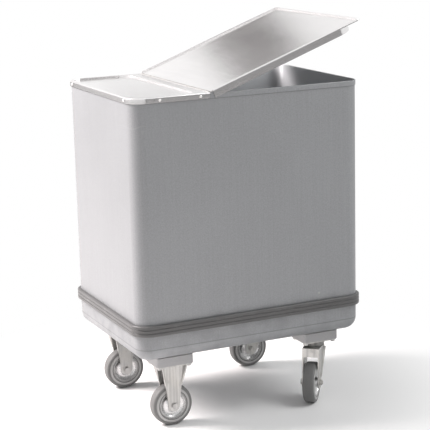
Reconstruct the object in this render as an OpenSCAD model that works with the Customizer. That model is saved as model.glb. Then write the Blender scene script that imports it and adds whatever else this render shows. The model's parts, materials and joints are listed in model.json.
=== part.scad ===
// Wheeled sheet-metal bin: rounded upright body on a deep-drawn base tub, a rubber
// bumper round the joint, a fixed cover over one end, a hinged lid over the rest,
// two rigid castors and two swivel castors. Millimetres, +Z up, floor at z = 0,
// origin on the floor under the middle of the body, +X towards the lid's grip.

/* [Body] */
// Length of the body over its walls
body_l = 580; // [480:1:700]
// Width of the body over its walls
body_w = 420; // [350:1:510]
// Height of the body's rim above the floor
rim_z = 786; // [650:1:950]
// Outside radius of the upright corners
corner_r = 35; // [32:1:60]
// Thickness of the body and tub sheet
wall = 2; // [1.5:0.1:2.5]
// Height of the folded band round the rim
band_h = 12; // [9:0.5:16]
// How far the folded band stands out from the wall
band_t = 1.5; // [1:0.1:2]

/* [Base tub] */
// Height of the tub's underside above the floor
base_z = 176; // [172:1:220]
// Radius between the tub's side and its underside
base_r = 30; // [20:1:31]
// Height of the butt joint between body and tub
joint_z = 250; // [245:1:320]
// Height of the backing frame inside the joint
frame_h = 50; // [42:1:60]
// Thickness of the backing frame
frame_t = 2.5; // [1.5:0.5:4]
// Radius of a joint rivet's shank
joint_rivet_r = 2; // [1.5:0.1:2.4]

/* [Bumper] */
// Height of the rubber bumper
bumper_h = 26; // [24:1:36]
// How far the rubber stands out from the wall
bumper_t = 8; // [7:0.5:12]
// Height of the metal rail inside the rubber
rail_h = 18; // [16:1:20]
// Thickness of the metal rail
rail_t = 2; // [1.5:0.5:3]
// Depth of the two grooves along the rubber
groove_r = 1.4; // [0.8:0.1:2]

/* [Cover and lid] */
// Thickness of the cover and lid sheet
sheet = 1.2; // [1:0.1:1.6]
// Place of the hinge axis along the body
hinge_x = -98; // [-130:1:-60]
// Angle at which the lid stands open
lid_angle = 20; // [0:1:90]
// Depth of the lid's skirt below its bead
lid_skirt = 19; // [15:0.5:26]
// How far the lid's grip lip reaches past its skirt
lip = 22; // [16:1:36]
// Height of the bead round the lid
bead_h = 3.2; // [2:0.1:5]
// Width of the bead round the lid
bead_w = 7; // [5:0.5:12]
// How far the cover's panel is pressed below its edge
recess = 4; // [2:0.5:6]
// Radius of a visible rivet's head
rivet_head_r = 3.2; // [2.6:0.1:4.5]

/* [Hinge] */
// Outside radius of the hinge knuckles
knuckle_r = 3; // [2.6:0.1:4]
// Radius of the hinge pin
pin_r = 1.5; // [1.2:0.1:1.8]
// Thickness of the hinge leaves
leaf_t = 1.2; // [1:0.1:1.6]
// Width of each hinge leaf
leaf_w = 22; // [18:1:26]
// Number of knuckles along the hinge
knuckles = 11; // [5:2:17]

/* [Castors] */
// Height of a castor from the floor to the pad
castor_h = 154; // [146:1:172]
// Distance of the rigid castors from the middle
rigid_x = 195; // [170:1:225]
// Distance of the swivel castors from the middle
swivel_x = 190; // [170:1:225]
// Distance of the castors from the centre line
castor_y = 152; // [120:1:195]
// Wheel diameter
wheel_d = 100; // [80:1:110]
// Width of the tyre
tyre_w = 30; // [24:1:32]
// Trail of a swivel castor
trail = 34; // [24:1:42]
// Direction of the near swivel castor's trail
near_turn = 230; // [0:1:359]
// Direction of the far swivel castor's trail
far_turn = 180; // [0:1:359]
// Length of the castor plate
plate_l = 88; // [80:1:100]
// Width of the castor plate
plate_w = 70; // [64:1:90]
// Thickness of the castor plate
plate_t = 3; // [2.5:0.5:5]
// Thickness of the fork legs
leg_t = 3; // [2.5:0.5:4]
// Radius of the axle bolt
axle_r = 4; // [3:0.5:5]
// Radius of the plate bolts
bolt_r = 3; // [2.5:0.5:4]
// Radius of the kingpin
king_r = 6; // [5:0.5:8]

/* [Hidden] */
$fn = 64;

// Clearances
hole_gap = 0.05;   // round a shank in its hole, and in a running fit
face_gap = 0.3;    // between faces that move past or rest near each other
nest_gap = 0.1;    // between rings that nest in one another
lid_gap = 0.6;     // between the lid's skirt and the rim band

// Cover and lid
cover_z = rim_z + face_gap;             // underside of cover flange and lid panel
cover_top = cover_z + sheet;
fold_r = 3;                             // outside radius of the folded edges
cover_out = band_t + nest_gap + sheet;  // cover skirt's outside from the body wall
flange_in = wall + 3;                   // cover flange inwards from the body wall's outside
hinge_flange = leaf_w + 4;              // flat strip of the cover beside the hinge
hinge_edge = knuckle_r + 0.8;           // sheet edges stay this far from the hinge axis
skirt_end = 2;                          // cover skirt stops this far before the axis
hinge_z = cover_z - leaf_t / 2;
hinge_len = body_w - 2 * wall - 6;
lid_out = band_t + lid_gap + sheet;     // lid skirt's outside from the body wall
lid_reach = body_l / 2 - hinge_x;       // hinge axis to the body's end wall
lid_len = lid_reach + lid_out + lip;
lid_w = body_w + 2 * lid_out;
lid_side_start = 7;                     // lid skirt and bead start this far from the axis
lip_r = bead_w + 1;                     // plan radius of the lip's corners
return_len = 9;                         // folded-back edge under the lip
rivet_r = 1.6;
rivet_head_h = 1.3;
tail_r = 2.6;
tail_h = 1.2;
cover_rivet_z = cover_top - band_h / 2 - 1.5;
cover_rivet_x = [-0.767 * body_l / 2, hinge_x - 25];
cover_rivet_y = 0.405 * body_w;
hinge_rivets = 6;
side_rivet_at = [0.6 * body_l / 2, joint_z + 32];

// Bumper
bumper_z = joint_z - bumper_h / 2 + 2;
rail_z = bumper_z + (bumper_h - rail_h) / 2;
bumper_edge_r = 3;
clip_l = 40;
clip_t = 1.2;

// Castors
wheel_r = wheel_d / 2;
tyre_depth = 17;
rim_r = wheel_r - tyre_depth;
hub_r = 12.5;
hub_w = tyre_w + 4;
fork_in = hub_w / 2 + 1;                // wheel's middle to a leg's inner face
leg_mid = fork_in + leg_t / 2;
fork_out = fork_in + leg_t;
sleeve_r = axle_r + 2;
plate_z = castor_h - plate_t;
race_h = 14;
race_r = 27;
crown_t = 3.2;
crown_z = plate_z - race_h - face_gap - crown_t;
crown_r = 26;
bridge_h = 22;                          // front bridge of a swivel fork
pad_l = plate_l + 4;
pad_w = plate_w + 4;
pad_t = 3;
bolt_x = plate_l / 2 - 7;
bolt_y = plate_w / 2 - 7;
bolt_head_r = bolt_r * 1.9;
bolt_head_h = bolt_r * 1.4;
axle_head_r = axle_r * 1.75;
axle_head_h = axle_r * 1.3;

// The four castor places: x, y
rigid_near = [-rigid_x, -castor_y];
rigid_far = [-rigid_x, castor_y];
swivel_near = [swivel_x, -castor_y];
swivel_far = [swivel_x, castor_y];

// ---- shared shapes -------------------------------------------------------

// Rounded rectangle from true squares and circles
module round_rect(l, w, r) {
    square([l - 2 * r, w], center = true);
    square([l, w - 2 * r], center = true);
    for (sx = [-1, 1], sy = [-1, 1])
        translate([sx * (l / 2 - r), sy * (w / 2 - r)]) circle(r);
}

// Sweeps a profile round a rounded rectangle: x is outwards from its edge, y is up
module ring_sweep(l, w, r) {
    for (i = [0:3]) {
        sx = (i == 0 || i == 3) ? 1 : -1;
        sy = (i < 2) ? 1 : -1;
        translate([sx * (l / 2 - r), sy * (w / 2 - r), 0]) rotate(90 * i)
            rotate_extrude(angle = 90) translate([r, 0]) children();
        run = (i % 2 == 0) ? w - 2 * r : l - 2 * r;
        off = (i % 2 == 0) ? l / 2 : w / 2;
        rotate(90 * i) translate([off, 0, 0]) rotate([90, 0, 0])
            linear_extrude(run, center = true) children();
    }
}

// Sweeps a profile along two sides and a closed end at x = l; the sides start at x0
module u_sweep(x0, l, w, r) {
    translate([l, 0, 0]) rotate([90, 0, 0]) linear_extrude(w - 2 * r, center = true) children();
    for (s = [0, 1]) {
        translate([l - r, (s == 0 ? 1 : -1) * (w / 2 - r), 0]) rotate(s == 0 ? 0 : -90)
            rotate_extrude(angle = 90) translate([r, 0]) children();
        translate([(x0 + l - r) / 2, 0, 0]) rotate(s == 0 ? 90 : -90)
            translate([w / 2, 0, 0]) rotate([90, 0, 0])
                linear_extrude(l - r - x0, center = true) children();
    }
}

// Quarter ring in the lower right: centre at the origin
module quarter_ring(r_out, r_in) {
    difference() {
        circle(r_out);
        circle(r_in);
        translate([-2 * r_out, -2 * r_out]) square([2 * r_out, 4 * r_out]);
        translate([-2 * r_out, 0]) square([4 * r_out, 2 * r_out]);
    }
}

// Blind rivet along +Z: domed head outside z = 0, tail behind the stack of sheets
module rivet(stack) {
    dome_r = (rivet_head_r * rivet_head_r + rivet_head_h * rivet_head_h) / (2 * rivet_head_h);
    intersection() {
        translate([0, 0, rivet_head_h - dome_r]) sphere(dome_r);
        cylinder(r = rivet_head_r + 1, h = rivet_head_h);
    }
    translate([0, 0, -stack - tail_h]) cylinder(r = rivet_r, h = stack + tail_h);
    translate([0, 0, -stack - tail_h]) cylinder(r = tail_r, h = tail_h);
}

// ---- body ----------------------------------------------------------------

// Places a rivet axis (+Z outwards) on each spot where the cover is riveted
module cover_rivet_places() {
    for (x = cover_rivet_x, s = [-1, 1])
        translate([x, s * (body_w / 2 + cover_out), cover_rivet_z]) rotate([-90 * s, 0, 0]) children();
    for (s = [-1, 1])
        translate([-body_l / 2 - cover_out, s * cover_rivet_y, cover_rivet_z])
            rotate([0, -90, 0]) children();
}

module side_rivet_place() {
    translate([side_rivet_at[0], -body_w / 2, side_rivet_at[1]]) rotate([90, 0, 0]) children();
}

// Places an axis (+Z outwards from the wall) on each joint rivet, in two rows
module joint_rivet_places() {
    rows = [joint_z - 6, joint_z + 7];
    for (z = rows) {
        for (i = [-2:2], s = [-1, 1])
            translate([i * body_l / 6, s * body_w / 2, z]) rotate([-90 * s, 0, 0]) children();
        for (i = [-1:1], s = [-1, 1])
            translate([s * body_l / 2, i * body_w / 4, z]) rotate([0, 90 * s, 0]) children();
    }
}

module joint_rivet_holes() {
    joint_rivet_places() translate([0, 0, -wall - frame_t - 1])
        cylinder(r = joint_rivet_r + hole_gap, h = wall + frame_t + 2);
}

module body_shell() {
    hem_r = (wall + band_t) / 2;
    color("lightgray") difference() {
        ring_sweep(body_l, body_w, corner_r) {
            union() {
                translate([-wall, joint_z]) square([wall, rim_z - hem_r - joint_z]);
                translate([-wall, rim_z - band_h]) square([wall + band_t, band_h - hem_r]);
                translate([hem_r - wall, rim_z - hem_r]) circle(hem_r);
            }
        }
        cover_rivet_places() translate([0, 0, -wall - cover_out - 1])
            cylinder(r = rivet_r + hole_gap, h = wall + cover_out + 2);
        side_rivet_place() translate([0, 0, -wall - 1]) cylinder(r = rivet_r + hole_gap, h = wall + 2);
        joint_rivet_holes();
    }
}

module base_tub() {
    floor_l = body_l - 2 * base_r;
    floor_w = body_w - 2 * base_r;
    color("silver") difference() {
        union() {
            ring_sweep(body_l, body_w, corner_r) {
                translate([-wall, base_z + base_r]) square([wall, joint_z - base_z - base_r]);
                translate([-base_r, base_z + base_r]) quarter_ring(base_r, base_r - wall);
            }
            translate([0, 0, base_z]) linear_extrude(wall) round_rect(floor_l, floor_w, corner_r - base_r);
        }
        joint_rivet_holes();
    }
}

// Backing frame inside the butt joint of body and tub
module joint_frame() {
    color("darkgray") difference() {
        ring_sweep(body_l - 2 * wall - 2 * nest_gap, body_w - 2 * wall - 2 * nest_gap,
                corner_r - wall - nest_gap)
            translate([-frame_t, joint_z - frame_h / 2]) square([frame_t, frame_h]);
        joint_rivet_holes();
        side_rivet_place() translate([0, 0, -wall - frame_t - tail_h - 2])
            cylinder(r = tail_r + 1, h = frame_t + tail_h + 2);
    }
}

module joint_rivets() {
    grip = wall + nest_gap + frame_t;
    color("gray") joint_rivet_places() {
        translate([0, 0, -grip - tail_h]) cylinder(r = joint_rivet_r, h = grip + tail_h);
        translate([0, 0, -grip - tail_h]) cylinder(r = joint_rivet_r * 1.7, h = tail_h);
    }
}

module side_rivet() {
    color("whitesmoke") side_rivet_place() rivet(wall);
}

// ---- bumper --------------------------------------------------------------

module bumper_rail() {
    color("gray") ring_sweep(body_l, body_w, corner_r)
        translate([nest_gap, rail_z]) square([rail_t, rail_h]);
}

module bumper_section() {
    pocket_t = rail_t + 2 * nest_gap;
    difference() {
        union() {
            translate([nest_gap, bumper_z]) square([bumper_t - bumper_edge_r - nest_gap, bumper_h]);
            translate([nest_gap, bumper_z + bumper_edge_r])
                square([bumper_t - nest_gap, bumper_h - 2 * bumper_edge_r]);
            for (z = [bumper_edge_r, bumper_h - bumper_edge_r])
                translate([bumper_t - bumper_edge_r, bumper_z + z]) circle(bumper_edge_r);
        }
        translate([-1, rail_z - nest_gap]) square([pocket_t + 1, rail_h + 2 * nest_gap]);
        for (z = [1, 2])
            translate([bumper_t, bumper_z + z * bumper_h / 3]) circle(groove_r);
    }
}

module bumper_strip() {
    color("dimgray") ring_sweep(body_l, body_w, corner_r) bumper_section();
}

// Clip over the butt joint of the rubber, in the middle of the far side
module bumper_clip() {
    color("silver") translate([0, body_w / 2 + bumper_t + nest_gap, bumper_z])
        translate([-clip_l / 2, 0, 0]) cube([clip_l, clip_t, bumper_h]);
}

// ---- fixed cover ---------------------------------------------------------

module cover_section() {
    skirt_low = rim_z - band_h;
    translate([cover_out - sheet, skirt_low]) square([sheet, cover_top - fold_r - skirt_low]);
    translate([cover_out - fold_r, cover_top - fold_r]) rotate(90) quarter_ring(fold_r, fold_r - sheet);
    translate([-flange_in, cover_z]) square([flange_in + cover_out - fold_r, sheet]);
}

module fixed_cover() {
    cover_l = body_l / 2 + hinge_x;
    panel_l = cover_l - flange_in - hinge_edge - hinge_flange;
    panel_r = corner_r - flange_in;
    panel_mid = hinge_edge + hinge_flange + panel_l / 2;
    color("whitesmoke") difference() {
        translate([hinge_x, 0, 0]) mirror([1, 0, 0]) union() {
            // skirt, fold and flange along three sides
            difference() {
                u_sweep(skirt_end, cover_l, body_w, corner_r) cover_section();
                translate([-1, -body_w, cover_z - fold_r])
                    translate([0, body_w / 2 + wall, 0]) cube([hinge_edge + 1, body_w - 2 * wall, 2 * fold_r]);
            }
            // flat strip beside the hinge
            translate([hinge_edge, -body_w / 2 + flange_in, cover_z])
                cube([hinge_flange, body_w - 2 * flange_in, sheet]);
            // pressed panel with its upright step
            translate([panel_mid, 0, cover_z - recess]) difference() {
                linear_extrude(recess + sheet) round_rect(panel_l, body_w - 2 * flange_in, panel_r);
                translate([0, 0, sheet]) linear_extrude(recess + sheet)
                    round_rect(panel_l - 2 * sheet, body_w - 2 * flange_in - 2 * sheet, panel_r - sheet);
            }
            // flat corner fillings between the square strip and the panel's round corners
            translate([panel_mid - panel_l / 4, 0, cover_z]) linear_extrude(sheet) difference() {
                square([panel_l / 2, body_w - 2 * flange_in], center = true);
                translate([panel_l / 4, 0])
                    round_rect(panel_l - 0.2, body_w - 2 * flange_in - 0.2, panel_r - 0.1);
            }
        }
        cover_rivet_places() translate([0, 0, -sheet - 1]) cylinder(r = rivet_r + hole_gap, h = sheet + 2);
        hinge_rivet_places(-1) cylinder(r = rivet_r + hole_gap, h = 4 * sheet, center = true);
    }
}

module cover_rivets() {
    color("white") cover_rivet_places() rivet(cover_out + wall);
}

// ---- hinge and lid -------------------------------------------------------

// Hinge-axis frame to the row frame, lid closed
module at_hinge() {
    translate([hinge_x, 0, hinge_z]) children();
}

// Puts what is modelled closed, in the hinge-axis frame, at the lid's open angle
module lid_open() {
    at_hinge() rotate([0, -lid_angle, 0]) children();
}

// Rivets through sheet and leaf: side -1 is the cover's, 1 the lid's, in row frame, lid closed
module hinge_rivet_places(side) {
    pitch = hinge_len / hinge_rivets;
    at_hinge() for (i = [0:hinge_rivets - 1])
        translate([side * (knuckle_r + leaf_w * 0.6), (i + 0.5) * pitch - hinge_len / 2, leaf_t / 2])
            children();
}

// One leaf in the hinge-axis frame: every second knuckle, from the given one
module hinge_leaf(side, first) {
    pitch = hinge_len / knuckles;
    difference() {
        union() {
            translate([side > 0 ? knuckle_r + face_gap : -knuckle_r - leaf_w, -hinge_len / 2, -leaf_t / 2])
                cube([leaf_w - face_gap, hinge_len, leaf_t]);
            for (i = [first:2:knuckles - 1])
                translate([0, i * pitch - hinge_len / 2 + face_gap / 2, 0]) {
                    translate([0, pitch - face_gap, 0]) rotate([90, 0, 0])
                        cylinder(r = knuckle_r, h = pitch - face_gap);
                    translate([side > 0 ? 0 : -knuckle_r - 2 * face_gap, 0, -leaf_t / 2])
                        cube([knuckle_r + 2 * face_gap, pitch - face_gap, leaf_t]);
                }
        }
        rotate([90, 0, 0]) cylinder(r = pin_r + hole_gap, h = hinge_len + 2, center = true);
        for (i = [0:hinge_rivets - 1])
            translate([side * (knuckle_r + leaf_w * 0.6), (i + 0.5) * hinge_len / hinge_rivets - hinge_len / 2, 0])
                cylinder(r = rivet_r + hole_gap, h = 4 * leaf_t, center = true);
    }
}

module hinge_leaf_cover() {
    color("silver") at_hinge() hinge_leaf(-1, 0);
}

module hinge_leaf_lid() {
    color("silver") lid_open() hinge_leaf(1, 1);
}

module hinge_pin() {
    color("gray") at_hinge() rotate([90, 0, 0]) cylinder(r = pin_r, h = hinge_len, center = true);
}

// Flush rivet: its top level with the sheet, its tail under the leaf
module flush_rivet() {
    translate([0, 0, -leaf_t - tail_h]) cylinder(r = rivet_r, h = leaf_t + tail_h + sheet);
    translate([0, 0, -leaf_t - tail_h]) cylinder(r = tail_r, h = tail_h);
}

module hinge_rivets_cover() {
    color("silver") hinge_rivet_places(-1) flush_rivet();
}

module hinge_rivets_lid() {
    color("silver") lid_open() translate([-hinge_x, 0, -hinge_z]) hinge_rivet_places(1) flush_rivet();
}

// Bead along the lid's outer edge: x is outwards, 0 at the edge; y is up, 0 on the panel's underside
module bead_section() {
    top = sheet + bead_h;
    translate([-sheet, 0]) square([sheet, top - fold_r]);
    translate([-fold_r, top - fold_r]) rotate(90) quarter_ring(fold_r, fold_r - sheet);
    translate([-bead_w, top - sheet]) square([bead_w - fold_r, sheet]);
    translate([-bead_w, 0]) square([sheet, top]);
}

// The lid closed, in the hinge-axis frame
module lid_closed() {
    under = leaf_t / 2;
    skirt_low = under + sheet + bead_h - lid_skirt;
    panel_w = lid_w - 2 * bead_w + 2 * sheet;
    panel_end = lid_len - bead_w + sheet;
    difference() {
        union() {
            // panel
            translate([hinge_edge, -panel_w / 2, under])
                cube([panel_end - hinge_edge, panel_w, sheet]);
            // bead along the sides and the lip's edge
            translate([0, 0, under]) u_sweep(lid_side_start, lid_len, lid_w, lip_r) bead_section();
            // skirt along the sides and the body's end
            u_sweep(lid_side_start, lid_reach, body_w, corner_r)
                translate([lid_out - sheet, skirt_low]) square([sheet, under - skirt_low]);
            // closes the bead's underside over the skirt
            for (s = [-1, 1]) translate([lid_side_start, s > 0 ? lid_w / 2 - bead_w : -lid_w / 2, under])
                cube([lid_len - lip_r - lid_side_start, bead_w, sheet]);
            translate([lid_len - lip_r - 20, -lid_w / 2 + lip_r, under])
                cube([20 + lip_r, lid_w - 2 * lip_r, sheet]);
            // edge folded back under the lip
            translate([lid_len, 0, under]) rotate([90, 0, 0])
                linear_extrude(lid_w - 4 * lip_r, center = true)
                    polygon([[0, 0.2], [-return_len * 0.8, -return_len * 0.6],
                        [-return_len * 0.8 - sheet * 0.6, -return_len * 0.6 + sheet * 0.8], [-sheet * 1.6, 0.2]]);
        }
        for (i = [0:hinge_rivets - 1])
            translate([knuckle_r + leaf_w * 0.6, (i + 0.5) * hinge_len / hinge_rivets - hinge_len / 2, 0])
                cylinder(r = rivet_r + hole_gap, h = 6 * sheet, center = true);
    }
}

module lid() {
    color("gainsboro") lid_open() lid_closed();
}

// ---- castors -------------------------------------------------------------

module at_castor(place) {
    translate([place[0], place[1], 0]) children();
}

// Frame of a swivel castor's turning part: trail along local +X
module at_swivel(place, turn) {
    at_castor(place) rotate(turn) children();
}

module plate_bolt_places() {
    for (sx = [-1, 1], sy = [-1, 1]) translate([sx * bolt_x, sy * bolt_y, 0]) children();
}

module all_castors() {
    for (place = [rigid_near, rigid_far, swivel_near, swivel_far]) at_castor(place) children();
}

// Welded cup between the tub's underside and the castor plate
module castor_pad(place) {
    pad_h = base_z - castor_h;
    color("darkgray") at_castor(place) difference() {
        translate([0, 0, castor_h]) linear_extrude(pad_h) round_rect(pad_l, pad_w, 6);
        translate([0, 0, castor_h + pad_t]) linear_extrude(pad_h)
            round_rect(pad_l - 2 * pad_t, pad_w - 2 * pad_t, 3);
        plate_bolt_places() translate([0, 0, castor_h - 1]) cylinder(r = bolt_r + hole_gap, h = pad_t + 2);
    }
}

module castor_bolts() {
    grip = plate_t + pad_t;
    color("silver") all_castors() plate_bolt_places() {
        translate([0, 0, plate_z]) cylinder(r = bolt_r, h = grip + bolt_head_h + 1);
        translate([0, 0, plate_z - bolt_head_h]) cylinder(r = bolt_head_r, h = bolt_head_h, $fn = 6);
    }
}

module castor_nuts() {
    color("silver") all_castors() plate_bolt_places() translate([0, 0, castor_h + pad_t]) difference() {
        cylinder(r = bolt_head_r, h = bolt_head_h, $fn = 6);
        translate([0, 0, -1]) cylinder(r = bolt_r + hole_gap, h = bolt_head_h + 2);
    }
}

module mounting_plate() {
    translate([0, 0, plate_z]) linear_extrude(plate_t) difference() {
        round_rect(plate_l, plate_w, 5);
        plate_bolt_places() circle(bolt_r + hole_gap);
    }
}

// Leg of a fork: a flat sheet in the x-z plane, centred on y = side * leg_mid
module fork_leg(side) {
    translate([0, side * leg_mid, 0]) rotate([90, 0, 0]) linear_extrude(leg_t, center = true) children();
}

// Stiffening flare along a leg's edge, from the top point to the low point, leaning outwards
module leg_flare(side, top, low, out) {
    tip = 1.4;
    y0 = side * (fork_in + tip);
    hull() {
        translate([top[0], y0, top[1] - 2]) cylinder(r = tip, h = 2, $fn = 20);
        translate([top[0] + out[0], y0 + side * out[1], top[1] - 2]) cylinder(r = tip, h = 2, $fn = 20);
        translate([low[0], y0, low[1]]) cylinder(r = tip, h = 2, $fn = 20);
        translate([low[0], y0 + side * 2, low[1]]) cylinder(r = tip, h = 2, $fn = 20);
    }
}

module rigid_fork(place) {
    top_x = 27;
    end_r = 13.5;
    low_z = wheel_d + 2;                // the flares end just above the tyre
    color("silver") at_castor(place) {
        difference() {
            union() {
                mounting_plate();
                for (s = [-1, 1]) {
                    fork_leg(s) {
                        polygon([[-top_x, plate_z], [top_x, plate_z], [end_r, wheel_r], [-end_r, wheel_r]]);
                        translate([0, wheel_r]) circle(end_r);
                    }
                    for (e = [-1, 1]) leg_flare(s, [e * top_x, plate_z], [e * 20.5, low_z], [e * 4, 12]);
                }
            }
            translate([0, 0, wheel_r]) rotate([90, 0, 0])
                cylinder(r = axle_r + hole_gap, h = 4 * fork_out, center = true);
        }
    }
}

module swivel_plate(place) {
    color("silver") at_castor(place) difference() {
        mounting_plate();
        translate([0, 0, plate_z - 1]) cylinder(r = king_r + hole_gap, h = plate_t + 2);
    }
}

// Upper ball race with its dust rim, pressed against the plate
module swivel_race(place) {
    color("dimgray") at_castor(place) translate([0, 0, plate_z - race_h]) difference() {
        union() {
            cylinder(r = race_r - 3, h = race_h);
            translate([0, 0, race_h / 2]) cylinder(r = race_r, h = race_h / 2);
        }
        translate([0, 0, -1]) cylinder(r = king_r + hole_gap, h = race_h + 2);
    }
}

module kingpin(place) {
    head_h = 6;
    head_z = crown_z - face_gap - head_h;
    color("gray") at_castor(place) {
        translate([0, 0, head_z]) cylinder(r = king_r, h = castor_h - face_gap - head_z);
        translate([0, 0, head_z]) cylinder(r = king_r * 1.6, h = head_h);
    }
}

module swivel_fork(place, turn) {
    back_x = -20;
    front_x = trail + 8;
    end_r = 16;
    top_z = crown_z + crown_t;
    color("silver") at_swivel(place, turn) {
        difference() {
            union() {
                // crown over the wheel, with a round back
                translate([0, 0, crown_z]) cylinder(r = crown_r, h = crown_t);
                translate([0, -fork_out, crown_z]) cube([front_x, 2 * fork_out, crown_t]);
                // front bridge between the legs
                translate([front_x - leg_t, -fork_out, top_z - bridge_h])
                    cube([leg_t, 2 * fork_out, bridge_h]);
                for (s = [-1, 1]) {
                    fork_leg(s) {
                        polygon([[back_x, top_z], [front_x, top_z], [front_x, top_z - bridge_h],
                            [trail + end_r, wheel_r], [trail - end_r, wheel_r], [back_x, top_z - 16]]);
                        translate([trail, wheel_r]) circle(end_r);
                    }
                    leg_flare(s, [back_x + 2, top_z - 10], [trail - end_r, wheel_r + 10], [-2, 5]);
                }
            }
            translate([0, 0, crown_z - 1]) cylinder(r = king_r + hole_gap, h = crown_t + 2);
            translate([trail, 0, wheel_r]) rotate([90, 0, 0])
                cylinder(r = axle_r + hole_gap, h = 4 * fork_out, center = true);
        }
    }
}

// Frames at a wheel's centre, axle along local Y
module at_rigid_wheel(place) {
    at_castor(place) translate([0, 0, wheel_r]) children();
}

module at_swivel_wheel(place, turn) {
    at_swivel(place, turn) translate([trail, 0, wheel_r]) children();
}

module tyre_shape() {
    shoulder = 6;
    flat = tyre_w / 2 - shoulder;
    color("gray") rotate([90, 0, 0]) rotate_extrude() {
        translate([rim_r, -tyre_w / 2]) square([tyre_depth - shoulder, tyre_w]);
        translate([rim_r, -flat]) square([tyre_depth, 2 * flat]);
        for (s = [-1, 1]) translate([wheel_r - shoulder, s * flat]) circle(shoulder);
    }
}

// Wheel centre: dished disc with a rim and a hub
module wheel_shape() {
    seat = rim_r - hole_gap;
    rim_w = tyre_w / 2 - 1.5;
    web_out = tyre_w / 2 - 3.5;
    web_in = tyre_w / 2 - 6.5;
    color("whitesmoke") rotate([90, 0, 0]) rotate_extrude()
        polygon([[sleeve_r + hole_gap, -hub_w / 2], [hub_r, -hub_w / 2], [hub_r + 1.5, -web_in],
            [rim_r - 4, -web_out], [rim_r - 3, -rim_w], [seat, -rim_w],
            [seat, rim_w], [rim_r - 3, rim_w], [rim_r - 4, web_out],
            [hub_r + 1.5, web_in], [hub_r, hub_w / 2], [sleeve_r + hole_gap, hub_w / 2]]);
}

module sleeve_shape() {
    color("gray") rotate([90, 0, 0]) difference() {
        cylinder(r = sleeve_r, h = 2 * fork_in - 2 * nest_gap, center = true);
        cylinder(r = axle_r + hole_gap, h = 2 * fork_in + 2, center = true);
    }
}

module axle_bolt_shape() {
    color("silver") rotate([90, 0, 0]) {
        translate([0, 0, -fork_out - axle_head_h - 2]) cylinder(r = axle_r, h = 2 * fork_out + axle_head_h + 2);
        translate([0, 0, fork_out]) cylinder(r = axle_head_r, h = axle_head_h, $fn = 6);
    }
}

module axle_nut_shape() {
    color("silver") rotate([-90, 0, 0]) translate([0, 0, fork_out]) difference() {
        cylinder(r = axle_head_r, h = axle_head_h, $fn = 6);
        translate([0, 0, -1]) cylinder(r = axle_r + hole_gap, h = axle_head_h + 2);
    }
}

// ---- nodes ---------------------------------------------------------------

body_shell();
base_tub();
joint_frame();
joint_rivets();
bumper_rail();
bumper_strip();
bumper_clip();
side_rivet();
fixed_cover();
cover_rivets();
hinge_leaf_cover();
hinge_leaf_lid();
hinge_pin();
hinge_rivets_cover();
hinge_rivets_lid();
lid();
castor_pad(rigid_near);  // castor_pad_rigid_near
castor_pad(rigid_far);  // castor_pad_rigid_far
castor_pad(swivel_near);  // castor_pad_swivel_near
castor_pad(swivel_far);  // castor_pad_swivel_far
castor_bolts();
castor_nuts();
rigid_fork(rigid_near);  // rigid_fork_near
rigid_fork(rigid_far);  // rigid_fork_far
swivel_plate(swivel_near);  // swivel_plate_near
swivel_plate(swivel_far);  // swivel_plate_far
swivel_race(swivel_near);  // swivel_race_near
swivel_race(swivel_far);  // swivel_race_far
kingpin(swivel_near);  // kingpin_near
kingpin(swivel_far);  // kingpin_far
swivel_fork(swivel_near, near_turn);  // swivel_fork_near
swivel_fork(swivel_far, far_turn);  // swivel_fork_far
at_rigid_wheel(rigid_near) tyre_shape();  // tyre_rigid_near
at_rigid_wheel(rigid_far) tyre_shape();  // tyre_rigid_far
at_swivel_wheel(swivel_near, near_turn) tyre_shape();  // tyre_swivel_near
at_swivel_wheel(swivel_far, far_turn) tyre_shape();  // tyre_swivel_far
at_rigid_wheel(rigid_near) wheel_shape();  // wheel_rigid_near
at_rigid_wheel(rigid_far) wheel_shape();  // wheel_rigid_far
at_swivel_wheel(swivel_near, near_turn) wheel_shape();  // wheel_swivel_near
at_swivel_wheel(swivel_far, far_turn) wheel_shape();  // wheel_swivel_far
at_rigid_wheel(rigid_near) sleeve_shape();  // sleeve_rigid_near
at_rigid_wheel(rigid_far) sleeve_shape();  // sleeve_rigid_far
at_swivel_wheel(swivel_near, near_turn) sleeve_shape();  // sleeve_swivel_near
at_swivel_wheel(swivel_far, far_turn) sleeve_shape();  // sleeve_swivel_far
at_rigid_wheel(rigid_near) axle_bolt_shape();  // axle_bolt_rigid_near
at_rigid_wheel(rigid_far) axle_bolt_shape();  // axle_bolt_rigid_far
at_swivel_wheel(swivel_near, near_turn) axle_bolt_shape();  // axle_bolt_swivel_near
at_swivel_wheel(swivel_far, far_turn) axle_bolt_shape();  // axle_bolt_swivel_far
at_rigid_wheel(rigid_near) axle_nut_shape();  // axle_nut_rigid_near
at_rigid_wheel(rigid_far) axle_nut_shape();  // axle_nut_rigid_far
at_swivel_wheel(swivel_near, near_turn) axle_nut_shape();  // axle_nut_swivel_near
at_swivel_wheel(swivel_far, far_turn) axle_nut_shape();  // axle_nut_swivel_far
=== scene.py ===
"""Looks for a wheeled sheet-metal bin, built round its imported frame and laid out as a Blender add-on."""

import json
import math

import bpy
from mathutils import Matrix, Vector


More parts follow.
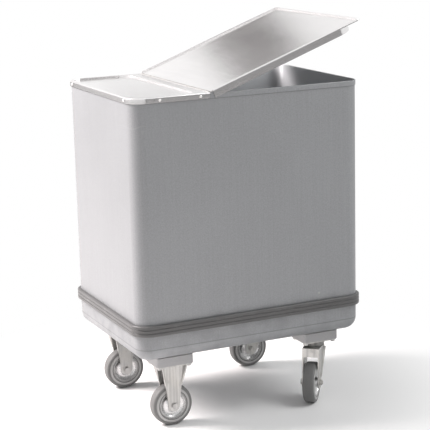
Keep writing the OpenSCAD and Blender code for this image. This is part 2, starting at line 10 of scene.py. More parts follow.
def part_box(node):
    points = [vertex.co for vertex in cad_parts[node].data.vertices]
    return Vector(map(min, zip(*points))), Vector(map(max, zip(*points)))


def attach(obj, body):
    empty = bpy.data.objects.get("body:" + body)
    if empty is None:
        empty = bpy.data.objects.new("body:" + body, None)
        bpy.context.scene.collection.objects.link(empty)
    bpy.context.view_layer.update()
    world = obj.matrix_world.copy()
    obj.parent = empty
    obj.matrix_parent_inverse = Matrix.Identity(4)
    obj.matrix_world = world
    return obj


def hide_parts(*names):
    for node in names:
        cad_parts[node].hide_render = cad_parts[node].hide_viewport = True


bl_info = {
    "name": "Wheeled Bin Looks",
    "version": (1, 0, 0),
    "blender": (4, 5, 0),
    "location": "3D View > Sidebar > Bin",
    "description": "Materials, wheels and a plain stage for a wheeled sheet-metal bin",
    "category": "Object",
}

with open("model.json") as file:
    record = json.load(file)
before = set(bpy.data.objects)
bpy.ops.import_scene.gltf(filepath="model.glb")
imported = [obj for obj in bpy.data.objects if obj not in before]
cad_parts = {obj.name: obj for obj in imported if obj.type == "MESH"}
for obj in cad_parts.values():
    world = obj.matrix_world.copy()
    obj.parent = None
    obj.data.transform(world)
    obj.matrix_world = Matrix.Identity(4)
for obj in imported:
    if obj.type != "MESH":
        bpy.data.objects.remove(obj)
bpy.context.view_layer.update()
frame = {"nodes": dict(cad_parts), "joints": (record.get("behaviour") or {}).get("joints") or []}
NODES = frame["nodes"]
MM = 0.001

PLACES = ("rigid_near", "rigid_far", "swivel_near", "swivel_far")
WHEEL_RADIUS = (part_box("tyre_rigid_near")[1].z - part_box("tyre_rigid_near")[0].z) / 2
TYRE_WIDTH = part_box("tyre_rigid_near")[1].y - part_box("tyre_rigid_near")[0].y
DISC_RADIUS = (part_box("wheel_rigid_near")[1].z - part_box("wheel_rigid_near")[0].z) / 2
HUB_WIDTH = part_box("wheel_rigid_near")[1].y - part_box("wheel_rigid_near")[0].y
SLEEVE_RADIUS = (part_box("sleeve_rigid_near")[1].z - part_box("sleeve_rigid_near")[0].z) / 2
BUMPER_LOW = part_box("bumper_strip")[0].z
BUMPER_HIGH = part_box("bumper_strip")[1].z
RIM_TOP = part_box("body_shell")[1].z
HALF_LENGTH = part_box("base_tub")[1].x
HALF_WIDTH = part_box("base_tub")[1].y
TUB_RADIUS = 30 * MM  # between the tub's wall and its bottom
TUB_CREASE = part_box("base_tub")[0].z + TUB_RADIUS
CORNER = 35 * MM  # outer radius of the upright corners
SHEET = 2 * MM  # thickness of the body's sheet
RIM_BAND = 12.7 * MM  # from the top of the rim to the line under its band
SPLASH = 26 * MM  # how far above the bumper the dirt reaches
TYRE_FIT = 0.05 * MM  # how far a tyre and its disc each keep from the line where they meet
SLEEVE_FIT = 0.06 * MM  # gap between a disc's bore and its sleeve
TREAD_DROP = 1.0 * MM  # how far a tyre's shoulders sit in from its raised side rings

FLOOR_REACH = 9.0
FLOOR_FADE = (0.3, 0.8)  # distances from the middle between which the floor turns white
TARGET_SIDE = (0.0029, 0.0029)  # where the camera looks, along X and Y
SIDE_LAMP = {"place": (-2.2, 1.15, 2.5), "target": (-0.3, 0, 0.75), "size": 1.5, "colour": (1.0, 0.93, 0.92)}
TOP_LAMP = {"place": (2.0, -1.25, 2.7), "target": (0.1, 0.2, 0.6), "size": 1.8}
FRONT_LAMP = {"place": (1.2, -3.4, 1.4), "target": (0, 0, 0.4), "size": 2.0}
BACK_CARD = {"place": (1.02, 3.0, 0.0), "half": 0.18, "low": 1.5, "high": 3.0}
FRONT_CARD = {"place": (2.1, -4.6, 0.0), "half": 1.4, "low": -0.6, "high": 2.4}


# ---- shader maths --------------------------------------------------------


class Value:
    """A number socket of a node tree, on which ordinary arithmetic adds Math nodes."""

    def __init__(self, graph, socket):
        self.graph = graph
        self.socket = socket

    def _math(self, operation, first, second=None):
        sockets = {0: first} if second is None else {0: first, 1: second}
        return self.graph.add("ShaderNodeMath", {"operation": operation}, sockets)

    def __add__(self, other):
        return self._math("ADD", self, other)

    __radd__ = __add__

    def __mul__(self, other):
        return self._math("MULTIPLY", self, other)

    __rmul__ = __mul__

    def __sub__(self, other):
        return self._math("SUBTRACT", self, other)

    def __rsub__(self, other):
        return self._math("SUBTRACT", other, self)

    def __pow__(self, other):
        return self._math("POWER", self, other)

    def __abs__(self):
        return self._math("ABSOLUTE", self)

    def sine(self):
        return self._math("SINE", self)

    def most(self, other):
        """The larger of two values."""
        return self._math("MAXIMUM", self, other)


class Graph:
    """The node tree of one material, with short calls for what this object's finishes use."""

    def __init__(self, name):
        self.material = bpy.data.materials.new(name)
        self.material.use_nodes = True
        self.tree = self.material.node_tree
        self.tree.nodes.clear()
        self.place = self.add("ShaderNodeTexCoord", output="Object")

    def add(self, kind, settings=None, sockets=None, output=0):
        """Adds a node: its type, its settings, then its sockets' values or links."""
        node = self.tree.nodes.new(kind)
        for key, setting in (settings or {}).items():
            if key == "stops":
                ramp = node.color_ramp
                while len(ramp.elements) < len(setting):
                    ramp.elements.new(0.5)
                for element, (position, colour) in zip(ramp.elements, setting):
                    element.position = position
                    element.color = (*colour, 1.0)
            else:
                setattr(node, key, setting)
        for key, given in (sockets or {}).items():
            if isinstance(given, Value):
                self.tree.links.new(given.socket, node.inputs[key])
            else:
                node.inputs[key].default_value = given
        return Value(self, node.outputs[output])

    def noise(self, scale, detail=3.0, stretch=(1.0, 1.0, 1.0), rough=0.5):
        """Noise between 0 and 1; scale is in cells for each metre, and stretch squeezes it along an axis."""
        place = self.add("ShaderNodeVectorMath", {"operation": "MULTIPLY"}, {0: self.place, 1: stretch})
        sockets = {"Vector": place, "Scale": scale, "Detail": detail, "Roughness": rough}
        return self.add("ShaderNodeTexNoise", None, sockets)

    def band(self, value, low, high):
        """A smooth step from 0 at low to 1 at high."""
        settings = {"interpolation_type": "SMOOTHSTEP"}
        return self.add("ShaderNodeMapRange", settings, {"Value": value, "From Min": low, "From Max": high})

    def radius_round(self, centre, axle):
        """Distance from a line through centre along axle."""
        arm = self.add("ShaderNodeVectorMath", {"operation": "SUBTRACT"}, {0: self.place, 1: centre})
        along = self.add(
            "ShaderNodeVectorMath", {"operation": "DOT_PRODUCT"}, {0: arm, 1: axle}, output="Value")
        reach = self.add("ShaderNodeVectorMath", {"operation": "LENGTH"}, {0: arm}, output="Value")
        return (reach * reach - along * along) ** 0.5

    def axis(self, letter):
        return self.add("ShaderNodeSeparateXYZ", None, {0: self.place}, output=letter)

    def mix(self, factor, first, second):
        """Mixes two colours."""
        colours = [c if isinstance(c, Value) else (*c, 1.0) for c in (first, second)]
        settings = {"data_type": "RGBA", "clamp_factor": True}
        return self.add("ShaderNodeMix", settings, {0: factor, 6: colours[0], 7: colours[1]}, output=2)

    def bump(self, height, depth, strength=1.0):
        return self.add("ShaderNodeBump", None, {"Height": height, "Distance": depth, "Strength": strength})

    def surface(self, **sockets):
        """Ends the material in a Principled BSDF; keyword names are socket names with _ for a blank."""
        named = {key.replace("_", " "): given for key, given in sockets.items()}
        shader = self.add("ShaderNodeBsdfPrincipled", None, named)
        self.add_output(shader)
        return self.material

    def add_output(self, shader):
        output = self.tree.nodes.new("ShaderNodeOutputMaterial")
        self.tree.links.new(shader.socket, output.inputs["Surface"])


def tint(colour, factor):
    """A colour made lighter or darker."""
    return tuple(min(1.0, channel * factor) for channel in colour)


def dress(material, *names):
    """Gives CAD nodes a material, and shades their curved faces smoothly."""
    for name in names:
        node = NODES[name]
        node.data.materials.clear()
        node.data.materials.append(material)
        shade(node)


def shade(obj):
    """Smooth shading with sharp creases, through modifiers that leave the mesh itself alone."""
    if "custom_normal" in obj.data.attributes:
        obj.data.attributes.remove(obj.data.attributes["custom_normal"])
    for polygon in obj.data.polygons:
        polygon.use_smooth = True
    weld = obj.modifiers.new("join_seams", "WELD")
    weld.merge_threshold = 0.002 * MM
    crease = obj.modifiers.new("keep_creases", "EDGE_SPLIT")
    crease.split_angle = math.radians(32)


# ---- finishes ------------------------------------------------------------


def sheet_finish(name, colour, roughness, grain, metallic):
    """Satin sheet: fine grain, long rolling streaks, soft patches and a few thin scratches."""
    g = Graph(name)
    patches = g.noise(5.0, 2.0)
    fine = g.noise(grain, 4.0, rough=0.7)
    streaks = g.noise(grain * 0.5, 2.0, stretch=(0.03, 0.03, 1.0))
    marks = g.noise(38.0, 1.0, stretch=(1.0, 1.0, 0.12))
    scratch = g.band(abs(marks - 0.5), 0.006, 0.0) * g.band(g.noise(7.0), 0.56, 0.66)
    tone = (patches - 0.5) * 0.5 + (fine - 0.5) * 0.8 + (streaks - 0.5) * 0.35 + 0.5
    paint = g.mix(tone, tint(colour, 0.86), tint(colour, 1.13))
    paint = g.mix(scratch * 0.35, paint, tint(colour, 1.4))
    rough = roughness + (fine - 0.5) * 0.16 + (patches - 0.5) * 0.10 - scratch * 0.1
    relief = fine * 0.6 + streaks * 0.4 - scratch * 0.5
    return g.surface(
        Base_Color=paint, Roughness=rough, Metallic=metallic, Normal=g.bump(relief, 0.05 * MM, 0.45),
    )


def body_finish(looks):
    """The body's sheet: a painted shadow line under the rim band, painted shade along the tub's crease with
    painted floor light beneath it, dirt above the bumper, and painted bounce light making the metal brighter
    inside.
    """
    g = Graph("body_sheet")
    colour = tuple(looks.body_colour)
    height = g.axis("Z")
    patches = g.noise(4.0, 3.0)
    fine = g.noise(looks.grain, 5.0, rough=0.75)
    streaks = g.noise(looks.grain * 0.6, 2.0, stretch=(1.0, 1.0, 0.02))
    marks = g.noise(30.0, 1.0, stretch=(0.15, 0.15, 1.0))
    scratch = g.band(abs(marks - 0.5), 0.005, 0.0) * g.band(g.noise(5.0), 0.58, 0.68)
    tone = (patches - 0.5) * 0.45 + (fine - 0.5) * 2.4 + (streaks - 0.5) * 0.4 + 0.5
    paint = g.mix(tone, tint(colour, 0.84), tint(colour, 1.15))
    # painted shadow: a dark line under the proud rim band, where the hem's edge shades the wall
    painted_band_shadow = g.band(abs(height - (RIM_TOP - RIM_BAND)), 1.3 * MM, 0.3 * MM)
    dirt = g.band(height, BUMPER_HIGH + SPLASH, BUMPER_HIGH - 2 * MM) * g.band(g.noise(24.0), 0.35, 0.75)
    # painted shade along the crease where the tub's wall turns into its bottom radius
    crease = g.band(abs(height - TUB_CREASE), 1.5 * MM, 0.4 * MM)
    painted_floor_light = g.band(height, TUB_CREASE, TUB_CREASE - 3 * MM)
    # painted floor light: the tub's lower radius is made lighter, as if lit from the floor
    paint = g.mix(painted_floor_light * 0.4, paint, tint(colour, 1.12))
    # painted shade: darkens the shadow line under the rim band and the tub's crease together
    paint = g.mix(painted_band_shadow.most(crease) * 0.5, paint, tint(colour, 0.35))
    paint = g.mix(dirt * 0.3, paint, tint(colour, 0.55))
    paint = g.mix(scratch * 0.3, paint, tint(colour, 1.4))
    # painted bounce light: the sheet inside the body, above the bumper, is made lighter to stand in for
    # light reflected about the interior
    past_x = (abs(g.axis("X")) - (HALF_LENGTH - CORNER)).most(0.0)
    past_y = (abs(g.axis("Y")) - (HALF_WIDTH - CORNER)).most(0.0)
    outward = (past_x * past_x + past_y * past_y) ** 0.5
    within = g.band(outward, CORNER - 0.35 * SHEET, CORNER - 0.65 * SHEET)
    inside = within * g.band(height, BUMPER_HIGH, BUMPER_HIGH + 2 * MM)
    paint = g.mix(inside, paint, tint(colour, looks.inner_painted_light))
    rough = looks.body_roughness + (fine - 0.5) * 0.2 + (patches - 0.5) * 0.08 + dirt * 0.1
    relief = fine * 0.7 + streaks * 0.3 - crease * 4.0
    return g.surface(
        Base_Color=paint, Roughness=rough, Metallic=looks.body_metallic,
        Normal=g.bump(relief, 0.06 * MM, 0.5),
    )


def rubber_finish(name, colour, roughness, pores=900.0):
    """Matt rubber: pores, a dusty bloom in patches and slightly rubbed spots."""
    g = Graph(name)
    bloom = g.noise(14.0, 4.0)
    fine = g.noise(pores, 3.0, rough=0.65)
    rubbed = g.band(g.noise(60.0, 2.0), 0.6, 0.72)
    paint = g.mix((bloom - 0.5) * 0.9 + (fine - 0.5) * 0.5 + 0.5, tint(colour, 0.8), tint(colour, 1.22))
    paint = g.mix(rubbed * 0.25, paint, tint(colour, 1.5))
    rough = roughness + (fine - 0.5) * 0.2 - rubbed * 0.12
    return g.surface(Base_Color=paint, Roughness=rough, Normal=g.bump(fine, 0.12 * MM, 0.5))


def zinc_finish(name, colour, roughness, metallic=0.8):
    """Zinc plating: small crystals, a faint warm and cold drift and drawn lines from pressing."""
    g = Graph(name)
    crystal = g.add("ShaderNodeTexVoronoi", None, {"Vector": g.place, "Scale": 260.0}, output="Color")
    grey = g.add("ShaderNodeRGBToBW", None, {0: crystal})
    drift = g.noise(22.0, 3.0)
    fine = g.noise(1100.0, 3.0)
    stain = g.band(g.noise(45.0, 4.0), 0.58, 0.74)
    drawn = g.band(g.noise(150.0, 2.0, stretch=(1.0, 1.0, 0.06)), 0.42, 0.62)
    cold = (colour[0] * 0.93, colour[1] * 0.97, colour[2])
    warm = (colour[0], colour[1] * 0.97, colour[2] * 0.88)
    paint = g.mix(drift, cold, warm)
    paint = g.mix((grey - 0.5) * 0.12 + 0.2, paint, tint(colour, 0.72))
    paint = g.mix((stain * 0.35).most(drawn * 0.4), paint, tint(colour, 0.5))
    rough = roughness + (grey - 0.5) * 0.05 + drawn * 0.12 + (fine - 0.5) * 0.12 + stain * 0.15
    return g.surface(
        Base_Color=paint, Roughness=rough, Metallic=metallic, Normal=g.bump(fine, 0.05 * MM, 0.35),
    )


def turned_finish(name, colour, roughness, centre, axle):
    """Pressed and turned disc: fine rings round the axle, painted shade round its outer edge where it meets
    the tyre, a greasy hub.
    """
    g = Graph(name)
    radius = g.radius_round(centre, axle)
    rings = (radius * 9000.0 + g.noise(30.0) * 1.5).sine() * 0.5 + 0.5
    coarse = (radius * 2600.0).sine() * 0.5 + 0.5
    fine = g.noise(700.0, 3.0)
    grease = g.band(radius, SLEEVE_RADIUS * 2.6, SLEEVE_RADIUS * 1.4) * g.band(g.noise(90.0), 0.3, 0.7)
    # painted shade: the disc darkens towards its outer edge, in the corner against the tyre
    edge = g.band(radius, DISC_RADIUS * 0.9, DISC_RADIUS)
    paint = g.mix(rings * 0.5 + fine * 0.5, tint(colour, 0.88), tint(colour, 1.08))
    paint = g.mix((grease * 0.5).most(edge * 0.6), paint, tint(colour, 0.35))
    rough = roughness + (fine - 0.5) * 0.12 + grease * 0.1
    relief = rings * 0.5 + coarse * 0.5
    return g.surface(
        Base_Color=paint, Roughness=rough, Metallic=0.85, Normal=g.bump(relief, 0.05 * MM, 0.6),
    )


def tyre_finish(name, colour, roughness, centre, axle):
    """Grey tyre rubber: a much darker tread, a lighter side ring and a painted shadow line in the groove
    where it meets the disc.
    """
    g = Graph(name)
    radius = g.radius_round(centre, axle)
    # the tread is painted much darker than the tyre's side
    tread = g.band(radius, WHEEL_RADIUS * 0.81, WHEEL_RADIUS * 0.86)
    # painted shadow: a dark line in the groove at the foot of the side ring, beside the disc
    line = g.band(abs(radius - (DISC_RADIUS + 2.6 * MM)), 1.4 * MM, 0.4 * MM)
    fine = g.noise(800.0, 4.0, rough=0.7)
    bloom = g.noise(26.0, 3.0)
    nicks = g.band(g.noise(150.0, 2.0), 0.66, 0.74) * tread
    paint = g.mix((bloom - 0.5) * 0.8 + (fine - 0.5) * 0.5 + 0.5, tint(colour, 0.84), tint(colour, 1.18))
    paint = g.mix(tread * 0.9, paint, tint(colour, 0.3))
    paint = g.mix((line * 0.85).most(nicks * 0.4), paint, tint(colour, 0.18))
    rough = roughness + (fine - 0.5) * 0.2 + tread * 0.08
    return g.surface(Base_Color=paint, Roughness=rough, Normal=g.bump(fine - nicks, 0.15 * MM, 0.5))


# ---- mesh code -----------------------------------------------------------


def arc(centre_r, centre_a, radius, start, end, steps):
    """Points of an arc in the plane of (radius from the axle, place along it), angles in degrees."""
    turns = (math.radians(start + (end - start) * i / steps) for i in range(steps + 1))
    return [(centre_r + radius * math.cos(t), centre_a + radius * math.sin(t)) for t in turns]


def lathe(name, profile, centre, axle, segments=112):
    """Turns a closed profile of (radius, place along the axle) round the axle."""
    axle = Vector(axle).normalized()
    side = axle.orthogonal().normalized()
    other = axle.cross(side)
    vertices = []
    for i in range(segments):
        angle = 2 * math.pi * i / segments
        spoke = side * math.cos(angle) + other * math.sin(angle)
        vertices += [Vector(centre) + spoke * r + axle * a for r, a in profile]
    count = len(profile)
    faces = []
    for i in range(segments):
        here, there = i * count, (i + 1) % segments * count
        for j in range(count):
            k = (j + 1) % count
            faces.append((here + j, there + j, there + k, here + k))
    mesh = bpy.data.meshes.new(name)
    mesh.from_pydata(vertices, [], faces)
    mesh.update()
    obj = bpy.data.objects.new(name, mesh)
    bpy.context.scene.collection.objects.link(obj)
    mesh.polygons.foreach_set("use_smooth", [True] * len(mesh.polygons))
    crease = obj.modifiers.new("keep_creases", "EDGE_SPLIT")
    crease.split_angle = math.radians(38)
    return obj


def mirrored(half):
    """A profile's half at positive places along the axle, closed by its mirror image."""
    return half + [(r, -a) for r, a in reversed(half)]


def tyre_profile(looks):
    """Outline of a tyre: bead seat, raised side ring, round shoulder and a nearly flat tread."""
    half = TYRE_WIDTH / 2
    shoulder = looks.shoulder
    ring_low = DISC_RADIUS + 1.6 * MM
    ring_high = ring_low + looks.side_ring
    crown = 0.5 * MM
    edge = 0.8 * MM
    side = half - TREAD_DROP
    points = [(DISC_RADIUS + TYRE_FIT, half - 2.2 * MM), (ring_low, half - 2.0 * MM)]
    points += arc(ring_low + edge, half - edge, edge, 180, 90, 5)
    points += arc(ring_high - edge, half - edge, edge, 90, 0, 5)
    points += [(ring_high + 0.2 * MM, side - 0.2 * MM), (ring_high + 1.2 * MM, side - 0.1 * MM)]
    points += arc(WHEEL_RADIUS - crown - shoulder, side - shoulder, shoulder, 80, 4, 10)
    points += [(WHEEL_RADIUS - 0.2 * MM, half * 0.35), (WHEEL_RADIUS, 0.8 * MM)]
    return mirrored(points)


def disc_profile(looks):
    """Outline of a wheel disc: bore, hub nose, dished web and rolled rim."""
    half = HUB_WIDTH / 2
    bore = SLEEVE_RADIUS + SLEEVE_FIT
    hub = SLEEVE_RADIUS + looks.hub_wall
    chamfer, nose, roll = 0.8 * MM, 1.4 * MM, 1.3 * MM
    rim_half = TYRE_WIDTH / 2 - 1.5 * MM
    web_top = rim_half - 1.6 * MM
    web_depth = web_top - (rim_half - looks.dish)
    start, end = hub + 1.0 * MM, DISC_RADIUS - 3.4 * MM
    steps = 12
    points = [(bore, half - chamfer), (bore + chamfer, half)]
    points += arc(hub - nose, half - nose, nose, 90, 0, 6)
    for i in range(steps + 1):
        share = i / steps
        sag = math.sin(math.pi * share) ** 0.8
        points.append((start + (end - start) * share, web_top - web_depth * sag))
    points += arc(DISC_RADIUS - 0.4 * MM - roll, rim_half - roll, roll, 165, 0, 8)
    points.append((DISC_RADIUS - TYRE_FIT, rim_half - 3 * MM))
    return mirrored(points)


def wheel_joint(place):
    """The joint that a wheel spins on, which holds its centre and its axle."""
    body = "wheel_body_" + place
    for joint in frame["joints"]:
        if joint["child"] == body:
            return body, tuple(joint["pos_m"]), tuple(joint["axis"])
    raise RuntimeError(f"no joint turns {body}")


# ---- settings ------------------------------------------------------------


class SheetLooks(bpy.types.PropertyGroup):
    body_colour: bpy.props.FloatVectorProperty(
        name="Body Colour", description="Colour of the body and tub sheet",
        default=(0.275, 0.283, 0.292), min=0, max=1, subtype="COLOR")
    lid_colour: bpy.props.FloatVectorProperty(
        name="Lid Colour", description="Colour of the lid and the fixed cover",
        default=(0.80, 0.79, 0.79), min=0, max=1, subtype="COLOR")
    body_roughness: bpy.props.FloatProperty(
        name="Body Roughness", description="Roughness of the body's sheet",
        default=0.48, min=0.1, max=1, subtype="FACTOR")
    # painted bounce light: how much lighter the sheet is painted inside the body
    inner_painted_light: bpy.props.FloatProperty(
        name="Inner Tint", description="How much lighter the sheet is inside the body",
        default=2.2, min=1, max=3)
    body_metallic: bpy.props.FloatProperty(
        name="Body Metallic", description="How much the body mirrors like bare metal",
        default=0.2, min=0, max=1, subtype="FACTOR")
    lid_roughness: bpy.props.FloatProperty(
        name="Lid Roughness", description="Roughness of the lid's sheet",
        default=0.2, min=0.1, max=1, subtype="FACTOR")
    grain: bpy.props.FloatProperty(
        name="Grain", description="Grains of the sheet for each metre", default=380.0, min=100, max=3000)


class RubberLooks(bpy.types.PropertyGroup):
    bumper_colour: bpy.props.FloatVectorProperty(
        name="Bumper Colour", description="Colour of the rubber bumper",
        default=(0.092, 0.092, 0.092), min=0, max=1, subtype="COLOR")
    tyre_colour: bpy.props.FloatVectorProperty(
        name="Tyre Colour", description="Colour of a tyre's side",
        default=(0.42, 0.42, 0.415), min=0, max=1, subtype="COLOR")
    shoulder: bpy.props.FloatProperty(
        name="Shoulder", description="Radius of a tyre's shoulder",
        default=5.5 * MM, min=2 * MM, max=7 * MM, unit="LENGTH")
    side_ring: bpy.props.FloatProperty(
        name="Side Ring", description="Width of the raised ring on a tyre's side",
        default=5.0 * MM, min=2 * MM, max=8 * MM, unit="LENGTH")


class CastorLooks(bpy.types.PropertyGroup):
    zinc_colour: bpy.props.FloatVectorProperty(
        name="Zinc Colour", description="Colour of the plated forks",
        default=(0.53, 0.522, 0.518), min=0, max=1, subtype="COLOR")
    disc_colour: bpy.props.FloatVectorProperty(
        name="Disc Colour", description="Colour of the wheel discs",
        default=(0.6, 0.6, 0.6), min=0, max=1, subtype="COLOR")
    pad_colour: bpy.props.FloatVectorProperty(
        name="Pad Colour", description="Colour of the pads under the tub",
        default=(0.33, 0.33, 0.335), min=0, max=1, subtype="COLOR")
    dish: bpy.props.FloatProperty(
        name="Dish", description="Depth of the dish in a wheel disc",
        default=6.0 * MM, min=1 * MM, max=9 * MM, unit="LENGTH")
    hub_wall: bpy.props.FloatProperty(
        name="Hub Wall", description="Wall of a wheel's hub round its sleeve",
        default=5.5 * MM, min=3 * MM, max=8 * MM, unit="LENGTH")


class StageLooks(bpy.types.PropertyGroup):
    floor_colour: bpy.props.FloatVectorProperty(
        name="Floor Colour", description="Colour of the floor",
        default=(0.96, 0.96, 0.96), min=0, max=1, subtype="COLOR")
    azimuth: bpy.props.FloatProperty(
        name="Azimuth", description="Camera's direction round the bin",
        default=math.radians(-24.57), subtype="ANGLE")
    elevation: bpy.props.FloatProperty(
        name="Elevation", description="Camera's height above the horizon",
        default=math.radians(12.54), subtype="ANGLE")
    roll: bpy.props.FloatProperty(
        name="Roll", description="Camera's turn about its own line of sight",
        default=math.radians(-1.48), subtype="ANGLE")
    distance: bpy.props.FloatProperty(
        name="Distance", description="Camera's distance from what it looks at",
        default=3.583, min=1, unit="LENGTH")
    lens: bpy.props.FloatProperty(
        name="Lens", description="Focal length in millimetres", default=122.4, min=20, max=300)
    target_height: bpy.props.FloatProperty(
        name="Target Height", description="Height that the camera looks at", default=0.4528, unit="LENGTH")
    ambient: bpy.props.FloatProperty(
        name="Ambient", description="Strength of the light from all round", default=0.30, min=0, max=2)
    side_power: bpy.props.FloatProperty(
        name="Side Lamp", description="Power of the lamp beside the narrow face",
        default=240.0, min=0, unit="POWER")
    top_power: bpy.props.FloatProperty(
        name="Top Lamp", description="Power of the lamp above", default=55.0, min=0, unit="POWER")
    front_power: bpy.props.FloatProperty(
        name="Front Lamp", description="Power of the lamp before the long face",
        default=3.0, min=0, unit="POWER")


# ---- operators -----------------------------------------------------------


class BIN_OT_sheet(bpy.types.Operator):
    """Dress the body, the tub, the fixed cover and the lid in sheet metal"""

    bl_idname = "bin.sheet"
    bl_label = "Sheet Metal"

    def execute(self, context):
        looks = context.scene.bin_sheet
        dress(body_finish(looks), "body_shell", "base_tub")
        lid = sheet_finish("lid_sheet", tuple(looks.lid_colour), looks.lid_roughness, looks.grain, 0.9)
        dress(lid, "lid", "fixed_cover")
        inner = sheet_finish("frame_metal", tint(looks.body_colour, 0.9), 0.5, looks.grain, 0.5)
        dress(inner, "joint_frame", "joint_rivets", "bumper_rail")
        rivet = zinc_finish("rivet_metal", tint(looks.lid_colour, 1.15), 0.3, 0.6)
        dress(rivet, "cover_rivets", "hinge_rivets_cover", "hinge_rivets_lid")
        dress(zinc_finish("dull_rivet", tint(looks.body_colour, 1.3), 0.4, 0.4), "side_rivet")
        return {"FINISHED"}


class BIN_OT_hinge(bpy.types.Operator):
    """Dress the hinge's leaves and its pin"""

    bl_idname = "bin.hinge"
    bl_label = "Hinge"

    def execute(self, context):
        bright = zinc_finish("trim_metal", tint(context.scene.bin_castor.zinc_colour, 1.15), 0.26, 0.7)
        dress(bright, "hinge_leaf_cover", "hinge_leaf_lid", "hinge_pin", "bumper_clip")
        return {"FINISHED"}


class BIN_OT_bumper(bpy.types.Operator):
    """Dress the bumper in dark rubber"""

    bl_idname = "bin.bumper"
    bl_label = "Bumper"

    def execute(self, context):
        looks = context.scene.bin_rubber
        dress(rubber_finish("bumper_rubber", tuple(looks.bumper_colour), 0.42), "bumper_strip")
        return {"FINISHED"}


class BIN_OT_castors(bpy.types.Operator):
    """Dress the forks, plates, pads and fasteners of the castors"""

    bl_idname = "bin.castors"
    bl_label = "Castors"

    def execute(self, context):
        looks = context.scene.bin_castor
        zinc = zinc_finish("zinc", tuple(looks.zinc_colour), 0.3)
        # painted shade: a darker copy of the zinc for the races and kingpins tucked under the swivel plates
        dark = zinc_finish("race_metal", tint(looks.zinc_colour, 0.55), 0.4)
        pad = sheet_finish("pad_metal", tuple(looks.pad_colour), 0.5, 500.0, 0.5)
        dress(pad, *("castor_pad_" + place for place in PLACES))
        dress(zinc, "castor_bolts", "castor_nuts")
        for end in ("near", "far"):
            dress(zinc, "rigid_fork_" + end, "swivel_plate_" + end, "swivel_fork_" + end)
            dress(dark, "swivel_race_" + end, "kingpin_" + end)
        for place in PLACES:
            dress(zinc, "axle_bolt_" + place, "axle_nut_" + place, "sleeve_" + place)
        return {"FINISHED"}


class BIN_OT_wheels(bpy.types.Operator):
    """Turn the four wheels: a dished disc and a grey tyre on each axle"""

    bl_idname = "bin.wheels"
    bl_label = "Wheels"

    def execute(self, context):
        castor, rubber = context.scene.bin_castor, context.scene.bin_rubber
        for place in PLACES:
            body, centre, axle = wheel_joint(place)
            disc = lathe("disc_" + place, disc_profile(castor), centre, axle)
            turned = turned_finish("turned_" + place, tuple(castor.disc_colour), 0.28, centre, axle)
            disc.data.materials.append(turned)
            tyre = lathe("grey_tyre_" + place, tyre_profile(rubber), centre, axle)
            grey = tyre_finish("tyre_" + place, tuple(rubber.tyre_colour), 0.55, centre, axle)
            tyre.data.materials.append(grey)
            for piece, node in ((disc, "wheel_" + place), (tyre, "tyre_" + place)):
                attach(piece, body)
                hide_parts(node)
        return {"FINISHED"}


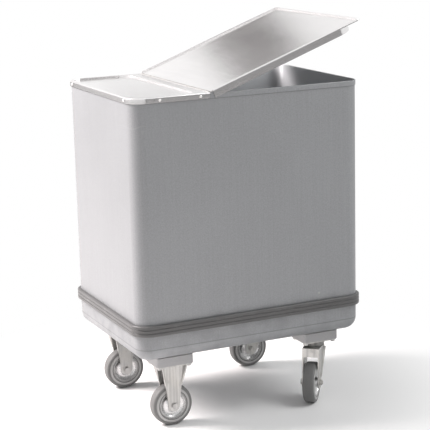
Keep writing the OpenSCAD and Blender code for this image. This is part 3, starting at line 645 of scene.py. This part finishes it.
class BIN_OT_stage(bpy.types.Operator):
    """Set the floor, the lamps, the world and the camera"""

    bl_idname = "bin.stage"
    bl_label = "Stage"

    def execute(self, context):
        looks = context.scene.bin_stage
        self.floor(context, looks)
        self.world(context, looks)
        self.lamp(context, "side_lamp", looks.side_power, **SIDE_LAMP)
        self.lamp(context, "top_lamp", looks.top_power, **TOP_LAMP)
        self.lamp(context, "front_lamp", looks.front_power, **FRONT_LAMP)
        self.card(context, "back_card", **BACK_CARD)
        self.card(context, "front_card", **FRONT_CARD)
        self.camera(context, looks)
        context.scene.view_settings.view_transform = "Standard"
        return {"FINISHED"}

    def floor(self, context, looks):
        """A round floor that fades into the white background far from the bin."""
        rings, sides = 24, 96
        vertices = [(0.0, 0.0, 0.0)]
        for i in range(1, rings + 1):
            radius = FLOOR_REACH * (i / rings) ** 1.5
            vertices += [
                (radius * math.cos(2 * math.pi * j / sides), radius * math.sin(2 * math.pi * j / sides), 0.0)
                for j in range(sides)
            ]
        faces = [(0, 1 + j, 1 + (j + 1) % sides) for j in range(sides)]
        for i in range(rings - 1):
            low, high = 1 + i * sides, 1 + (i + 1) * sides
            for j in range(sides):
                k = (j + 1) % sides
                faces.append((low + j, high + j, high + k, low + k))
        mesh = bpy.data.meshes.new("floor")
        mesh.from_pydata(vertices, [], faces)
        floor = bpy.data.objects.new("floor", mesh)
        context.scene.collection.objects.link(floor)
        g = Graph("floor_paint")
        away = g.add("ShaderNodeVectorMath", {"operation": "LENGTH"}, {0: g.place}, output="Value")
        speck = g.noise(60.0)
        paint = g.mix(speck * 0.3, tuple(looks.floor_colour), tint(looks.floor_colour, 0.97))
        near = g.add("ShaderNodeBsdfPrincipled", None, {"Base Color": paint, "Roughness": 0.7})
        far = g.add("ShaderNodeEmission", None, {"Color": (1, 1, 1, 1), "Strength": 1.0})
        seen = g.add("ShaderNodeLightPath", output="Is Camera Ray")
        fade = g.band(away, *FLOOR_FADE) * seen
        g.add_output(g.add("ShaderNodeMixShader", None, {0: fade, 1: near, 2: far}))
        mesh.materials.append(g.material)

    def world(self, context, looks):
        """A white surround for what is seen or mirrored, and a plain even light for the rest."""
        world = bpy.data.worlds.new("surround")
        world.use_nodes = True
        tree = world.node_tree
        tree.nodes.clear()
        path = tree.nodes.new("ShaderNodeLightPath")
        seen = tree.nodes.new("ShaderNodeMath")
        seen.operation = "MAXIMUM"
        clear = tree.nodes.new("ShaderNodeMath")
        clear.operation = "MAXIMUM"
        light = tree.nodes.new("ShaderNodeBackground")
        white = tree.nodes.new("ShaderNodeBackground")
        light.inputs["Strength"].default_value = looks.ambient
        light.inputs["Color"].default_value = (1, 1, 1, 1)
        white.inputs["Color"].default_value = (1, 1, 1, 1)
        mixed = tree.nodes.new("ShaderNodeMixShader")
        output = tree.nodes.new("ShaderNodeOutputWorld")
        tree.links.new(path.outputs["Is Camera Ray"], seen.inputs[0])
        tree.links.new(path.outputs["Is Glossy Ray"], seen.inputs[1])
        tree.links.new(seen.outputs[0], clear.inputs[0])
        tree.links.new(path.outputs["Is Transmission Ray"], clear.inputs[1])
        tree.links.new(clear.outputs[0], mixed.inputs[0])
        tree.links.new(light.outputs[0], mixed.inputs[1])
        tree.links.new(white.outputs[0], mixed.inputs[2])
        tree.links.new(mixed.outputs[0], output.inputs["Surface"])
        context.scene.world = world

    def card(self, context, name, place, half, low, high):
        """A dark upright card that only shows mirrored in the bin's metal."""
        corners = [(-half, 0, low), (half, 0, low), (half, 0, high), (-half, 0, high)]
        mesh = bpy.data.meshes.new(name)
        mesh.from_pydata(corners, [], [(0, 1, 2, 3)])
        card = bpy.data.objects.new(name, mesh)
        card.location = place
        context.scene.collection.objects.link(card)
        g = Graph(name + "_paint")
        cloth = g.mix(g.noise(300.0), (0.05, 0.05, 0.05), (0.08, 0.08, 0.08))
        mesh.materials.append(g.surface(Base_Color=cloth, Roughness=0.9))
        card.visible_camera = False
        card.visible_diffuse = False
        card.visible_shadow = False

    def lamp(self, context, name, power, place, target, size, colour=(1, 1, 1)):
        """A square area lamp at a place, turned to a target."""
        data = bpy.data.lights.new(name, "AREA")
        data.size = size
        data.energy = power
        data.color = colour
        lamp = bpy.data.objects.new(name, data)
        lamp.location = place
        aim = Vector(target) - Vector(place)
        lamp.rotation_mode = "QUATERNION"
        lamp.rotation_quaternion = aim.to_track_quat("-Z", "Y")
        context.scene.collection.objects.link(lamp)

    def camera(self, context, looks):
        """A long lens that looks at the bin from its azimuth and elevation, with a slight roll."""
        azimuth, elevation, roll = looks.azimuth, looks.elevation, looks.roll
        back = Vector((
            math.sin(azimuth) * math.cos(elevation),
            -math.cos(azimuth) * math.cos(elevation),
            math.sin(elevation),
        ))
        right = Vector((math.cos(azimuth), math.sin(azimuth), 0))
        up = back.cross(right)
        across = right * math.cos(roll) + up * math.sin(roll)
        upright = up * math.cos(roll) - right * math.sin(roll)
        place = Vector((*TARGET_SIDE, looks.target_height)) + back * looks.distance
        data = bpy.data.cameras.new("camera")
        data.lens = looks.lens
        data.sensor_width = 36
        camera = bpy.data.objects.new("camera", data)
        turn = Matrix((across, upright, back)).transposed().to_4x4()
        camera.matrix_world = Matrix.Translation(place) @ turn
        context.scene.collection.objects.link(camera)
        context.scene.camera = camera


class BIN_PT_looks(bpy.types.Panel):
    """Lists the bin's settings and operators"""

    bl_idname = "BIN_PT_looks"
    bl_label = "Wheeled Bin"
    bl_space_type = "VIEW_3D"
    bl_region_type = "UI"
    bl_category = "Bin"

    def draw(self, context):
        for group in SETTINGS:
            box = self.layout.box()
            settings = getattr(context.scene, group)
            for name in settings.bl_rna.properties.keys():
                if name not in {"rna_type", "name"}:
                    box.prop(settings, name)
        for operator in OPERATORS:
            self.layout.operator(operator.bl_idname)


SETTINGS = {
    "bin_sheet": SheetLooks,
    "bin_rubber": RubberLooks,
    "bin_castor": CastorLooks,
    "bin_stage": StageLooks,
}
OPERATORS = (BIN_OT_sheet, BIN_OT_hinge, BIN_OT_bumper, BIN_OT_castors, BIN_OT_wheels, BIN_OT_stage)


def register():
    for group in SETTINGS.values():
        bpy.utils.register_class(group)
    for operator in OPERATORS:
        bpy.utils.register_class(operator)
    bpy.utils.register_class(BIN_PT_looks)
    for name, group in SETTINGS.items():
        setattr(bpy.types.Scene, name, bpy.props.PointerProperty(type=group))


def unregister():
    for name in SETTINGS:
        delattr(bpy.types.Scene, name)
    bpy.utils.unregister_class(BIN_PT_looks)
    for operator in reversed(OPERATORS):
        bpy.utils.unregister_class(operator)
    for group in reversed(list(SETTINGS.values())):
        bpy.utils.unregister_class(group)


def main():
    register()
    bpy.ops.bin.sheet()
    bpy.ops.bin.hinge()
    bpy.ops.bin.bumper()
    bpy.ops.bin.castors()
    bpy.ops.bin.wheels()
    bpy.ops.bin.stage()


if __name__ == "__main__":
    main()
